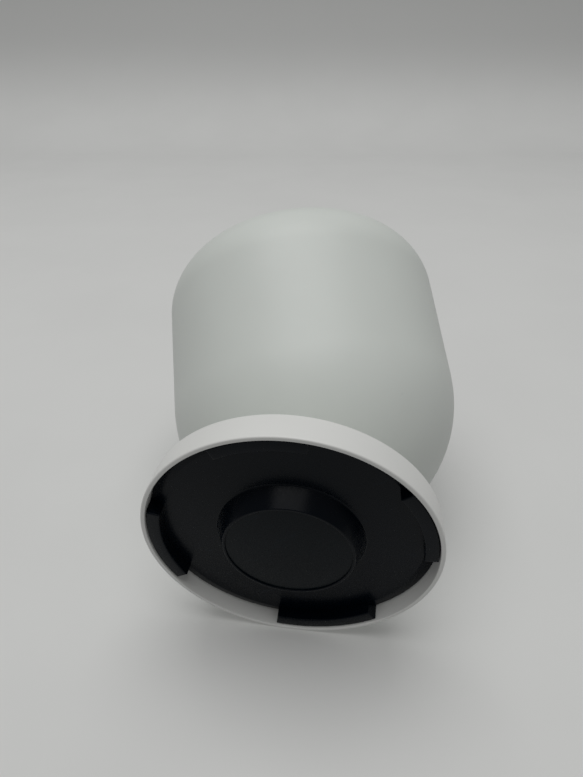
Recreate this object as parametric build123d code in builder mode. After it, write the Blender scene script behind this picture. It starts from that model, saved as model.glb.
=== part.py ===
"""Mesh wifi node: a ball-ended drum that leans on a round magnetic foot.

Frame: +Z up along the foot's axis, origin at the middle of the boss that the foot stands on.
The drum leans towards +Y by its rest lean, and its ports are in its back, the -Y side.
"""
from build123d import *

import os
from math import cos
from math import radians
from math import sin
from math import sqrt

os.makedirs("parts", exist_ok=True)

# Foot
foot_r = 45.0           # outside radius of the white ring
foot_height = 9.0       # height of the ring's outside wall
rim_z = 1.6             # the boss stands this far proud of the ring's rim
rim_wall = 1.4          # thickness of the ring's wall
skin = 1.8              # thickness of the foot's top skin
collar_r = 23.5         # opening in the top skin, round the saddle
collar_z = 15.8         # height of the skin at that opening
plate_gap = 0.1         # gap round the black plate
plate_z = 7.3           # height of the plate's edge
plate_floor = 1.8       # thickness of the plate under the pad
plate_back = 10.8       # highest face of the plate, inside the foot
plate_step_r = 25.5     # outside of that face
boss_r = 19.7           # lip at the boss's end
lip = 0.8               # width of the lip round the pad
# Underside of the plate, from the boss's lip out to its edge: corners, and the bend at each
underside = ((22.6, 6.3), (40.5, 6.0))
underside_bends = (0.6, 4.0)
plate_edge = 1.6        # thickness of the plate at its edge and at the boss
plate_upper = ((40.5, 7.9), (33.0, 8.0), (28.0, 9.0))
pad_recess = 0.4        # the pad lies this far inside the lip
pad_thickness = 1.2
tab_centres = (-82.5, 15.0, 103.0, 184.0)
tab_widths = (47.0, 44.0, 38.0, 40.0)
tab_thickness = 4.3
tab_top_z = rim_z + 0.5
tab_inset = 0.05        # from the plate's edge to the tabs' outer faces
weight_inner = 28.5
weight_middle = 33.0
weight_outer = 38.0
weight_bottom = (9.2, 8.2, 8.2)
weight_gap = 0.2        # between the weight and the shells round it
screw_circle = 10.5     # the plate's screws
screw_count = 3
screw_r = 1.25
screw_length = 3.4
screw_head_r = 2.6
screw_head = 1.2
screw_slack = 0.3       # more radius in the holes than in the screws
pivot_screw_r = 1.6
pivot_screw_depth = 5.5
pivot_head_r = 2.9
thrust_r = 8.6
thrust_thickness = 0.8

# Saddle, which turns on the foot and holds the ball end
ball_z = 68.4           # centre of the ball end, above the origin
body_r = 52.0           # radius of the ball end and of the drum
slide_gap = 0.3         # between the ball end and the saddle's liner
liner_thickness = 1.3
saddle_r = 22.5
saddle_bottom = 12.2
hub_r = 9.0
hub_bottom = 6.3
post_r = 6.0
post_gap = 0.05
post_top = 13.7
post_flange_r = 14.0
post_flange = 2.0
washer_r = 7.6
washer_thickness = 1.4
magnet_inner_r = 9.6
magnet_outer_r = 16.4
magnet_bottom = 9.5
magnet_top = 14.3
iron_bottom = 8.2
skirt_r = 18.3

# Drum, sizes along its own axis counted from the ball's centre
lean = 32.0             # rest lean of the drum's axis, towards +Y
wall = 2.2
top_s = 63.2            # flat top
crown_round = 24.2      # rounding between the drum's side and its top
seam_angle = 70.0       # where the cap's seam lies on that rounding
seam_gap = 0.4          # degrees between the shell and the cap
keeper_angle = 48.0     # half angle of the steel bowl in the ball end
keeper_thickness = 1.0
shelf_s = -22.0         # shelves in the shell that hold the tray
tray_r = 35.2
tray_thickness = 2.0
tray_screw_r = 32.5
frame_r = 34.4          # outside radius of the antenna frame
frame_wall = 1.6
frame_top = 53.0
side_window_s = 1.0
rail_width = 8.0
rail_middle = 28.6
rail_depth = 4.0

# Ports, in a pocket in the drum's back
pocket_s = 12.0         # middle of the pocket
pocket_width = 52.0
pocket_height = 20.0
pocket_floor = 30.0     # how far behind the axis its floor lies
pocket_wall = 1.6
jack_width = 16.0
jack_height = 13.5
jack_xs = (-13.5, 3.5)
socket_width = 11.8
socket_height = 8.2
socket_depth = 14.0
power_x = 18.5
power_s = 8.6
power_width = 9.4
power_height = 3.6
power_depth = 9.0
button_s = 17.4
button_r = 2.5
button_gap = 0.05
button_proud = 1.2

# Boards
board_back = 5.6        # the main board's back face, behind the axis
board_thickness = 1.6
board_width = 58.0
board_bottom = -17.0
board_height = 64.0
board_hole_x = 26.5
board_hole_s = 28.5
radio_hole_x = 18.0
can_size = 22.0
can_height = 2.0
pad_height = 0.8
sink_width = 52.0
sink_height = 51.0
sink_base = 2.5
fin_count = 9
fin_thickness = 1.2
fin_height = 11.0
radio_front = 21.0      # the radio board, in front of the fins
radio_width = 43.0

ball = Vector(0, 0, ball_z)
drum_way = Vector(0, sin(radians(lean)), cos(radians(lean)))
drum_axis = Axis(ball, drum_way)
# across: local x is X and local y is the drum's front, so its offsets climb the drum's axis
across = Plane(origin=ball, x_dir=(1, 0, 0), z_dir=drum_way)
# upright: local y climbs the drum's axis, and its offsets lie further behind that axis
upright = Plane(origin=ball, x_dir=(1, 0, 0), z_dir=(0, -drum_way.Z, drum_way.Y))

crown_r = body_r - crown_round
crown_s = top_s - crown_round
board_front = board_back - board_thickness
board_middle = board_bottom + board_height / 2
tray_top = shelf_s + tray_thickness
iron_r = magnet_outer_r + 0.3
ring_top = rim_z + foot_height
shoulder_r = foot_r - 1.4
shoulder_z = ring_top + 0.7


def ball_drop(radius, r):
    """Height above the origin of a sphere about the ball's centre, at r from the foot's axis."""
    return ball_z - sqrt(radius**2 - r**2)


def radial(floor, turn):
    """The plane whose x points out at turn degrees in floor, and whose y climbs floor's normal."""
    out = floor.x_dir * cos(radians(turn)) + floor.y_dir * sin(radians(turn))
    return Plane(origin=floor.origin, x_dir=out, z_dir=out.cross(floor.z_dir))


def under_skin(r):
    """Height of the underside of the foot's top skin, at r from its axis."""
    slope = (collar_z - shoulder_z) / (shoulder_r - collar_r)
    return collar_z - skin - (r - collar_r) * slope


def save(piece, label):
    """Labels a finished piece and writes it under that name."""
    piece.part.label = label
    export_step(piece.part, f"parts/{label}.step")


# ---------------------------------------------------------------- foot

with BuildPart() as foot_shell:
    with BuildSketch(Plane.XZ) as ring_outline:
        with BuildLine():
            Polyline(
                (foot_r - rim_wall, rim_z),
                (foot_r, rim_z),
                (foot_r - 0.3, ring_top),
                (shoulder_r, shoulder_z),
                (collar_r, collar_z),
                (collar_r, collar_z - skin),
                (shoulder_r - 1.5, under_skin(shoulder_r - 1.5)),
                (foot_r - rim_wall, ring_top - 1.5),
                close=True,
            )
        make_face()
        outer_corners = ring_outline.vertices().sort_by(Axis.X)[-2:]
        fillet(outer_corners, radius=0.5)
    revolve(axis=Axis.Z)
save(foot_shell, "foot_shell")

plate_r = foot_r - rim_wall - plate_gap
plate_floor_z = pad_recess + pad_thickness
post_bottom = plate_floor_z + plate_floor
tab_middle_r = plate_r - tab_inset - tab_thickness / 2
tab_root_z = plate_z + 0.3

with BuildPart() as foot_plate:
    with BuildSketch(Plane.XZ) as plate_outline:
        with BuildLine():
            Polyline(
                (0, plate_floor_z),
                (boss_r - lip, plate_floor_z),
                (boss_r - lip, 0),
                (boss_r, 0),
                *underside,
                (plate_r, plate_z),
                (plate_r, plate_z + plate_edge),
                *plate_upper,
                (plate_step_r, plate_back),
                (boss_r, plate_back),
                (boss_r - plate_edge, post_bottom),
                (0, post_bottom),
                close=True,
            )
        make_face()
        for corner, bend in zip(underside, underside_bends):
            fillet(plate_outline.vertices().sort_by_distance(corner)[0], radius=bend)
    revolve(axis=Axis.Z)
    for centre, width in zip(tab_centres, tab_widths):
        with BuildSketch(radial(Plane.XY, centre - width / 2)) as tab_section:
            with Locations((tab_middle_r, (tab_top_z + tab_root_z) / 2)):
                Rectangle(tab_thickness, tab_root_z - tab_top_z)
        revolve(axis=Axis.Z, revolution_arc=width)
    with BuildSketch(Plane.XY.offset(plate_floor_z)) as screw_holes:
        with PolarLocations(screw_circle, screw_count):
            Circle(screw_r + screw_slack)
    extrude(amount=screw_length, mode=Mode.SUBTRACT)
    with BuildSketch(Plane.XY.offset(plate_floor_z)) as countersinks:
        with PolarLocations(screw_circle, screw_count):
            Circle(screw_head_r + screw_slack)
    extrude(amount=screw_head, taper=45, mode=Mode.SUBTRACT)
save(foot_plate, "foot_plate")

with BuildPart() as boss_pad:
    with BuildSketch(Plane.XY.offset(pad_recess)):
        Circle(boss_r - lip - 0.05)
    extrude(amount=pad_thickness)
save(boss_pad, "boss_pad")

with BuildPart() as foot_weight:
    with BuildSketch(Plane.XZ) as weight_section:
        with BuildLine():
            Polyline(
                (weight_inner, weight_bottom[0]),
                (weight_middle, weight_bottom[1]),
                (weight_outer, weight_bottom[2]),
                (weight_outer, under_skin(weight_outer) - weight_gap),
                (weight_inner, under_skin(weight_inner) - weight_gap),
                close=True,
            )
        make_face()
    revolve(axis=Axis.Z)
save(foot_weight, "foot_weight")

with BuildPart() as pivot_post:
    with BuildSketch(Plane.XY.offset(post_bottom)):
        Circle(post_flange_r)
    extrude(amount=post_flange)
    with BuildSketch(Plane.XY.offset(post_bottom)):
        Circle(post_r)
    extrude(amount=post_top - post_bottom)
    with Locations(Plane((0, 0, post_bottom), x_dir=(1, 0, 0), z_dir=(0, 0, -1))):
        with PolarLocations(screw_circle, screw_count):
            Hole(radius=screw_r + 0.05)
    with Locations(Plane.XY.offset(post_top)):
        Hole(radius=pivot_screw_r + 0.05, depth=pivot_screw_depth + 1.5)
save(pivot_post, "pivot_post")

with BuildPart() as plate_screws:
    with BuildSketch(Plane.XY.offset(plate_floor_z)):
        with PolarLocations(screw_circle, screw_count):
            Circle(screw_r)
    extrude(amount=screw_length)
    with BuildSketch(Plane.XY.offset(plate_floor_z)):
        with PolarLocations(screw_circle, screw_count):
            Circle(screw_head_r)
    extrude(amount=screw_head, taper=45)
save(plate_screws, "plate_screws")

with BuildPart() as thrust_washer:
    with BuildSketch(Plane.XY.offset(post_bottom + post_flange)):
        Circle(thrust_r)
        Circle(post_r + 0.1, mode=Mode.SUBTRACT)
    extrude(amount=thrust_thickness)
save(thrust_washer, "thrust_washer")

with BuildPart() as pivot_washer:
    with BuildSketch(Plane.XY.offset(post_top)):
        Circle(washer_r)
    extrude(amount=washer_thickness)
    with Locations(Plane.XY.offset(post_top + washer_thickness)):
        CounterSinkHole(radius=1.8, counter_sink_radius=3.1, counter_sink_angle=90)
save(pivot_washer, "pivot_washer")

with BuildPart() as pivot_screw:
    with BuildSketch(Plane.XY.offset(post_top - pivot_screw_depth)):
        Circle(pivot_screw_r)
    extrude(amount=pivot_screw_depth + washer_thickness)
    with BuildSketch(Plane.XY.offset(post_top + washer_thickness)):
        Circle(pivot_head_r)
    extrude(amount=-screw_head, taper=45)
save(pivot_screw, "pivot_screw")

# ---------------------------------------------------------------- saddle

dish_r = body_r + slide_gap + liner_thickness
hub_top = post_top - 0.1
well_r = washer_r + 0.4

with BuildPart() as saddle:
    with BuildSketch(Plane.XZ) as saddle_section:
        with BuildLine():
            Polyline(
                (well_r, ball_drop(dish_r, well_r)),
                (well_r, hub_top),
                (post_r + post_gap, hub_top),
                (post_r + post_gap, hub_bottom),
                (hub_r, hub_bottom),
                (hub_r, magnet_top + 0.2),
                (iron_r, magnet_top + 0.2),
                (iron_r, iron_bottom - 0.2),
                (skirt_r, iron_bottom - 0.2),
                (skirt_r, saddle_bottom),
                (saddle_r, saddle_bottom),
                (saddle_r, ball_drop(dish_r, saddle_r)),
            )
            RadiusArc(
                (saddle_r, ball_drop(dish_r, saddle_r)),
                (well_r, ball_drop(dish_r, well_r)),
                dish_r,
            )
        make_face()
    revolve(axis=Axis.Z)
save(saddle, "saddle")

liner_front_r = body_r + slide_gap
liner_back_r = dish_r - 0.02
liner_inner = 11.0
liner_outer = 21.0

with BuildPart() as saddle_liner:
    with BuildSketch(Plane.XZ) as liner_section:
        with BuildLine():
            RadiusArc(
                (liner_outer, ball_drop(liner_front_r, liner_outer)),
                (liner_inner, ball_drop(liner_front_r, liner_inner)),
                liner_front_r,
            )
            Line(
                (liner_inner, ball_drop(liner_front_r, liner_inner)),
                (liner_inner, ball_drop(liner_back_r, liner_inner)),
            )
            RadiusArc(
                (liner_inner, ball_drop(liner_back_r, liner_inner)),
                (liner_outer, ball_drop(liner_back_r, liner_outer)),
                -liner_back_r,
            )
            Line(
                (liner_outer, ball_drop(liner_back_r, liner_outer)),
                (liner_outer, ball_drop(liner_front_r, liner_outer)),
            )
        make_face()
    revolve(axis=Axis.Z)
save(saddle_liner, "saddle_liner")

with BuildPart() as magnet_ring:
    with BuildSketch(Plane.XY.offset(magnet_bottom)):
        Circle(magnet_outer_r)
        Circle(magnet_inner_r, mode=Mode.SUBTRACT)
    extrude(amount=magnet_top - magnet_bottom)
save(magnet_ring, "magnet_ring")

with BuildPart() as back_iron:
    with BuildSketch(Plane.XY.offset(iron_bottom)):
        Circle(magnet_outer_r + 0.2)
        Circle(hub_r + 0.1, mode=Mode.SUBTRACT)
    extrude(amount=magnet_bottom - iron_bottom)
save(back_iron, "back_iron")

# ---------------------------------------------------------------- drum casing

inner_r = body_r - wall
inner_round = crown_round - wall

with BuildPart() as body_shell:
    with BuildSketch(upright) as shell_outline:
        with BuildLine():
            ball_end = CenterArc((0, 0), body_r, -90, 90)
            side = Line(ball_end @ 1, (body_r, crown_s))
            shoulder = CenterArc((crown_r, crown_s), crown_round, 0, seam_angle)
            inner_shoulder = CenterArc((crown_r, crown_s), inner_round, seam_angle, -seam_angle)
            inner_end = CenterArc((0, 0), inner_r, 0, -90)
            Line(shoulder @ 1, inner_shoulder @ 0)
            Line(inner_shoulder @ 1, inner_end @ 0)
            Line(inner_end @ 1, ball_end @ 0)
        make_face()
    revolve(axis=drum_axis)
    with BuildSketch(across.offset(shelf_s - 6)) as shelves:
        with PolarLocations(tray_screw_r + 3.5, 3, start_angle=30):
            Rectangle(14, 7)
    extrude(amount=6)
    with Locations(across.offset(shelf_s)):
        with PolarLocations(tray_screw_r, 3, start_angle=30):
            Hole(radius=1.2, depth=5.0)
    with BuildSketch(upright.offset(pocket_floor)) as window:
        with Locations((0, pocket_s)):
            RectangleRounded(pocket_width + 0.2, pocket_height + 0.2, 3.1)
    extrude(amount=body_r - pocket_floor + 1, mode=Mode.SUBTRACT)
save(body_shell, "body_shell")

with BuildPart() as top_cap:
    with BuildSketch(upright) as cap_outline:
        with BuildLine():
            cap_start = seam_angle + seam_gap
            edge = CenterArc((crown_r, crown_s), crown_round, cap_start, 90 - cap_start)
            under = CenterArc((crown_r, crown_s), inner_round, 90, cap_start - 90)
            Polyline(edge @ 1, (0, top_s), (0, top_s - wall), under @ 0)
            Line(under @ 1, edge @ 0)
        make_face()
    revolve(axis=drum_axis)
    with BuildSketch(across.offset(frame_top + 1.5)) as skirt:
        Circle(frame_r)
        Circle(frame_r - 1.4, mode=Mode.SUBTRACT)
    extrude(amount=top_s - wall - frame_top - 0.6)
    with BuildSketch(across.offset(top_s - wall - 1)) as lens_hole:
        with Locations((0, 18)):
            Circle(1.65)
    extrude(amount=wall + 2, mode=Mode.SUBTRACT)
save(top_cap, "top_cap")

with BuildPart() as status_lens:
    with BuildSketch(across.offset(top_s - wall - 1.6)):
        with Locations((0, 18)):
            Circle(3.0)
    extrude(amount=1.5)
    with BuildSketch(across.offset(top_s - wall - 1.6)):
        with Locations((0, 18)):
            Circle(1.6)
    extrude(amount=wall + 1.6)
save(status_lens, "status_lens")

with BuildPart() as led_board:
    with BuildSketch(across.offset(top_s - wall - 3.4)):
        with Locations((0, 18)):
            RectangleRounded(22, 9, 1.5)
    extrude(amount=1.0)
    with BuildSketch(across.offset(top_s - wall - 2.4)):
        with Locations((0, 18)):
            Rectangle(1.6, 1.6)
    extrude(amount=0.6)
save(led_board, "led_board")

keeper_outer_r = inner_r - 0.05
keeper_inner_r = keeper_outer_r - keeper_thickness

with BuildPart() as keeper_bowl:
    with BuildSketch(upright) as keeper_section:
        with BuildLine():
            bowl_out = CenterArc((0, 0), keeper_outer_r, -90, keeper_angle)
            bowl_in = CenterArc((0, 0), keeper_inner_r, keeper_angle - 90, -keeper_angle)
            Line(bowl_out @ 1, bowl_in @ 0)
            Line(bowl_in @ 1, bowl_out @ 0)
        make_face()
    revolve(axis=drum_axis)
save(keeper_bowl, "keeper_bowl")

# ---------------------------------------------------------------- drum inside

with BuildPart() as base_tray:
    with BuildSketch(across.offset(shelf_s)):
        Circle(tray_r)
        with PolarLocations(22, 6):
            Circle(4.5, mode=Mode.SUBTRACT)
    extrude(amount=tray_thickness)
    with Locations(across.offset(tray_top)):
        with PolarLocations(tray_screw_r, 3, start_angle=30):
            Hole(radius=1.6)
save(base_tray, "base_tray")

with BuildPart() as tray_screws:
    with BuildSketch(across.offset(shelf_s - 4)):
        with PolarLocations(tray_screw_r, 3, start_angle=30):
            Circle(1.15)
    extrude(amount=4 + tray_thickness)
    with BuildSketch(across.offset(tray_top)):
        with PolarLocations(tray_screw_r, 3, start_angle=30):
            Circle(2.4)
    extrude(amount=1.6)
save(tray_screws, "tray_screws")

frame_bottom = tray_top
frame_middle = (frame_bottom + frame_top) / 2

with BuildPart() as antenna_frame:
    with BuildSketch(across.offset(frame_bottom)):
        Circle(frame_r)
        Circle(frame_r - frame_wall, mode=Mode.SUBTRACT)
    extrude(amount=frame_top - frame_bottom)
    with BuildSketch(across.offset(frame_bottom)) as screw_notches:
        with PolarLocations(tray_screw_r, 3, start_angle=30):
            Circle(3.4)
    extrude(amount=3.0, mode=Mode.SUBTRACT)
    with BuildSketch(upright.offset(-frame_r - 1)) as front_window:
        with Locations((0, frame_middle)):
            RectangleRounded(30, 54, 4)
    extrude(amount=frame_r, mode=Mode.SUBTRACT)
    with BuildSketch(upright) as back_window:
        with Locations((0, pocket_s)):
            RectangleRounded(pocket_width + 3, pocket_height + 3, 3)
    extrude(amount=frame_r + 1, mode=Mode.SUBTRACT)
    with BuildSketch(radial(across, 90)) as side_windows:
        with Locations((0, side_window_s)):
            RectangleRounded(24, 30, 4)
    extrude(amount=frame_r + 1, both=True, mode=Mode.SUBTRACT)
    with BuildSketch(upright.offset(board_back)) as rails:
        for rail_x in (-rail_middle, rail_middle):
            with Locations((rail_x, frame_middle)):
                Rectangle(rail_width, frame_top - frame_bottom - 6)
    extrude(amount=rail_depth)
    with Locations(upright.offset(board_back)):
        with Locations((0, board_middle)):
            with GridLocations(2 * board_hole_x, 2 * board_hole_s, 2, 2):
                Hole(radius=1.1)
save(antenna_frame, "antenna_frame")

antenna_bottom = 24.0
antenna_height = 26.0
antenna_r = frame_r + 0.1
antenna_arc = 34.0
antenna_sheet = 0.3

with BuildPart() as antennas:
    for quarter in range(4):
        turn = 45 + 90 * quarter - antenna_arc / 2
        with BuildSketch(radial(across, turn)):
            with Locations((antenna_r + antenna_sheet / 2, antenna_bottom + antenna_height / 2)):
                Rectangle(antenna_sheet, antenna_height)
        revolve(axis=drum_axis, revolution_arc=antenna_arc)
save(antennas, "antennas")

with BuildPart() as main_board:
    with BuildSketch(upright.offset(board_front)):
        with Locations((0, board_middle)):
            RectangleRounded(board_width, board_height, 2)
            with GridLocations(2 * board_hole_x, 2 * board_hole_s, 2, 2):
                Circle(1.5, mode=Mode.SUBTRACT)
    extrude(amount=board_thickness)
save(main_board, "main_board")

with BuildPart() as board_screws:
    with BuildSketch(upright.offset(board_front)) as shanks:
        with Locations((0, board_middle)):
            with GridLocations(2 * board_hole_x, 2 * board_hole_s, 2, 2):
                Circle(1.05)
    extrude(amount=5.0)
    with BuildSketch(upright.offset(board_front - 1.6)) as heads:
        with Locations((0, board_middle)):
            with GridLocations(2 * board_hole_x, 2 * board_hole_s, 2, 2):
                Circle(2.1)
    extrude(amount=1.6)
save(board_screws, "board_screws")

can_front = board_front - can_height

with BuildPart() as shield_cans:
    with BuildSketch(upright.offset(can_front)):
        with Locations((0, board_middle)):
            with GridLocations(can_size + 2, can_size + 2, 2, 2):
                RectangleRounded(can_size, can_size, 1)
    extrude(amount=can_height)
save(shield_cans, "shield_cans")

with BuildPart() as thermal_pads:
    with BuildSketch(upright.offset(can_front - pad_height)):
        with Locations((0, board_middle)):
            with GridLocations(can_size + 2, can_size + 2, 2, 2):
                Rectangle(can_size - 3, can_size - 3)
    extrude(amount=pad_height)
save(thermal_pads, "thermal_pads")

sink_back = can_front - pad_height
sink_front = sink_back - sink_base

with BuildPart() as heatsink:
    with BuildSketch(upright.offset(sink_front)):
        with Locations((0, board_middle)):
            RectangleRounded(sink_width, sink_height, 1.5)
    extrude(amount=sink_base)
    with BuildSketch(upright.offset(sink_front - fin_height)):
        with Locations((0, board_middle)):
            with GridLocations((sink_width - fin_thickness) / (fin_count - 1), 0, fin_count, 1):
                Rectangle(fin_thickness, sink_height)
    extrude(amount=fin_height)
save(heatsink, "heatsink")

standoff_length = radio_front - board_thickness + board_front

with BuildPart() as standoffs:
    with BuildSketch(upright.offset(board_front - standoff_length)):
        with Locations((0, board_middle)):
            with GridLocations(2 * radio_hole_x, 2 * board_hole_s, 2, 2):
                RegularPolygon(2.4, 6)
                Circle(1.1, mode=Mode.SUBTRACT)
    extrude(amount=standoff_length)
save(standoffs, "standoffs")

with BuildPart() as radio_board:
    with BuildSketch(upright.offset(-radio_front)):
        with Locations((0, board_middle)):
            RectangleRounded(radio_width, board_height, 2)
            with GridLocations(2 * radio_hole_x, 2 * board_hole_s, 2, 2):
                Circle(1.3, mode=Mode.SUBTRACT)
    extrude(amount=board_thickness)
save(radio_board, "radio_board")

with BuildPart() as radio_screws:
    with BuildSketch(upright.offset(-radio_front)):
        with Locations((0, board_middle)):
            with GridLocations(2 * radio_hole_x, 2 * board_hole_s, 2, 2):
                Circle(1.05)
    extrude(amount=5.0)
    with BuildSketch(upright.offset(-radio_front - 1.5)):
        with Locations((0, board_middle)):
            with GridLocations(2 * radio_hole_x, 2 * board_hole_s, 2, 2):
                Circle(2.0)
    extrude(amount=1.5)
save(radio_screws, "radio_screws")

with BuildPart() as radio_cans:
    with BuildSketch(upright.offset(-radio_front - can_height)):
        with Locations((0, board_middle)):
            with GridLocations(0, 24, 1, 2):
                RectangleRounded(28, 20, 1)
    extrude(amount=can_height)
save(radio_cans, "radio_cans")

# ---------------------------------------------------------------- ports

with BuildPart() as port_pocket:
    with BuildSketch(upright.offset(pocket_floor)):
        with Locations((0, pocket_s)):
            RectangleRounded(pocket_width, pocket_height, 3)
    extrude(amount=body_r - pocket_floor)
    with BuildSketch(across.offset(pocket_s - pocket_height)):
        Circle(body_r - 0.1)
    extrude(amount=2 * pocket_height, mode=Mode.INTERSECT)
    with BuildSketch(upright.offset(pocket_floor + pocket_wall)):
        with Locations((0, pocket_s)):
            RectangleRounded(pocket_width - 2 * pocket_wall, pocket_height - 2 * pocket_wall, 1.5)
    extrude(amount=body_r, mode=Mode.SUBTRACT)
    with BuildSketch(upright.offset(pocket_floor - 1)):
        for jack_x in jack_xs:
            with Locations((jack_x, pocket_s)):
                Rectangle(socket_width + 1, socket_height + 1)
        with Locations((power_x, power_s)):
            SlotOverall(power_width + 0.4, power_height + 0.4)
        with Locations((power_x, button_s)):
            Circle(button_r + button_gap)
    extrude(amount=pocket_wall + 2, mode=Mode.SUBTRACT)
save(port_pocket, "port_pocket")

with BuildPart() as ethernet_jacks:
    for jack_x in jack_xs:
        with BuildSketch(upright.offset(board_back)):
            with Locations((jack_x, pocket_s)):
                Rectangle(jack_width, jack_height)
        extrude(amount=pocket_floor - board_back)
        with BuildSketch(upright.offset(pocket_floor - socket_depth)):
            with Locations((jack_x, pocket_s)):
                Rectangle(socket_width, socket_height)
        extrude(amount=socket_depth, mode=Mode.SUBTRACT)
save(ethernet_jacks, "ethernet_jacks")

power_board_top = power_s - power_height / 2
power_board_length = pocket_floor - 1.0 - board_back

with BuildPart() as power_board:
    with BuildSketch(across.offset(power_board_top - 1.0)):
        with Locations((power_x, -board_back - power_board_length / 2)):
            Rectangle(11.5, power_board_length)
    extrude(amount=1.0)
save(power_board, "power_board")

with BuildPart() as power_jack:
    with BuildSketch(upright.offset(pocket_floor - power_depth)):
        with Locations((power_x, power_s)):
            SlotOverall(power_width, power_height)
    extrude(amount=power_depth + 0.8)
    with BuildSketch(upright.offset(pocket_floor - power_depth + 1.5)):
        with Locations((power_x, power_s)):
            SlotOverall(power_width - 0.8, power_height - 0.8)
            Rectangle(6.6, 0.7, mode=Mode.SUBTRACT)
    extrude(amount=power_depth, mode=Mode.SUBTRACT)
save(power_jack, "power_jack")

switch_height = 2.4

with BuildPart() as reset_switch:
    with BuildSketch(upright.offset(board_back)):
        with Locations((power_x, button_s)):
            Rectangle(6, 6)
    extrude(amount=switch_height)
save(reset_switch, "reset_switch")

button_stem_start = board_back + switch_height + 1.2

with BuildPart() as reset_button:
    with BuildSketch(upright.offset(button_stem_start)):
        with Locations((power_x, button_s)):
            Circle(1.2)
    extrude(amount=pocket_floor - button_stem_start)
    with BuildSketch(upright.offset(pocket_floor - 1.4)):
        with Locations((power_x, button_s)):
            Circle(button_r + 0.9)
    extrude(amount=1.2)
    with BuildSketch(upright.offset(pocket_floor - 1.4)):
        with Locations((power_x, button_s)):
            Circle(button_r)
    extrude(amount=1.4 + pocket_wall + button_proud)
save(reset_button, "reset_button")

print(f"ball bottom clears the foot's skin by {ball_z - body_r - collar_z:.2f} mm")
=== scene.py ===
"""Looks for the mesh wifi node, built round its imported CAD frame.

The drum's casing, cap and light, and the foot's ring, underside and pad are surfaces worked out
as whole arrays. Every other CAD part keeps its own shape and is given a finish. Lengths in the
classes are in millimetres and become metres when a piece is made.
"""
import logging
from collections.abc import Sequence
from dataclasses import dataclass
from dataclasses import field
from enum import Enum

import bmesh
import bpy
import numpy as np
from mathutils import Matrix
from mathutils import Vector


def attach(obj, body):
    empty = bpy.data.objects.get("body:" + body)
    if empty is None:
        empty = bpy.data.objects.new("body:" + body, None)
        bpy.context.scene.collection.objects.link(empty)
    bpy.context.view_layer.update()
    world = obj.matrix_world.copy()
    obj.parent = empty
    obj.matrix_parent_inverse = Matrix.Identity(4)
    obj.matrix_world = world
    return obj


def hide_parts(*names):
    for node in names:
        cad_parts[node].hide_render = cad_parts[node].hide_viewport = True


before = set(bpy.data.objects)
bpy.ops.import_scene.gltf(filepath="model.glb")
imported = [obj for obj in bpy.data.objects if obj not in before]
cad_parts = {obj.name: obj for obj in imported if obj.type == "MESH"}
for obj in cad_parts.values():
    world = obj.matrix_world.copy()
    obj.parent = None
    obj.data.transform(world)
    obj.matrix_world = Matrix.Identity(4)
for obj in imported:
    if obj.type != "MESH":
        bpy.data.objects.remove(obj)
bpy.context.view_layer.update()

log = logging.getLogger("mesh_node")

MM = 0.001
SHARP_ANGLE = np.radians(34.0)
WELD = 1e-6

Colour = tuple[float, float, float]
Pair = tuple[float, float]


class Body(Enum):
    """The CAD bodies that new pieces ride on."""

    FOOT = "foot"
    DRUM = "drum"


class Slot(Enum):
    """The record's material slot names; no piece in this script uses them."""

    DRUM = "white_drum"
    RING = "white_ring"
    UNDERSIDE = "black_plastic"
    PAD = "black_pad"
    LENS = "lens"


# ---------------------------------------------------------------- surfaces


@dataclass
class Skin:
    """Points, three numbers each, and the quads that join them."""

    points: np.ndarray
    quads: np.ndarray

    def flipped_onto(self, other: "Skin", walls: Sequence[tuple[np.ndarray, np.ndarray]]) -> "Skin":
        """Joins this skin to another that lies behind it, with a wall between each pair of edges.

        Args:
            other: the skin behind this one.
            walls: pairs of loops of point numbers, on this skin and on the other.

        Returns:
            One closed skin.
        """
        shift = len(self.points)
        faces = [self.quads, other.quads[:, ::-1] + shift]
        faces += [ribbon(near, far + shift) for near, far in walls]
        return Skin(np.concatenate([self.points, other.points]), np.concatenate(faces))


@dataclass
class Opening:
    """An opening in a grid: the block of cells that it takes, and the loops to its edge."""

    first: tuple[int, int]
    last: tuple[int, int]
    loops: list[np.ndarray]
    rings: int = 4


def ribbon(near: np.ndarray, far: np.ndarray) -> np.ndarray:
    """Quads between two closed loops of point numbers, from each pair of points to the next."""
    return np.stack([near, np.roll(near, -1), np.roll(far, -1), far], axis=1)


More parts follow.
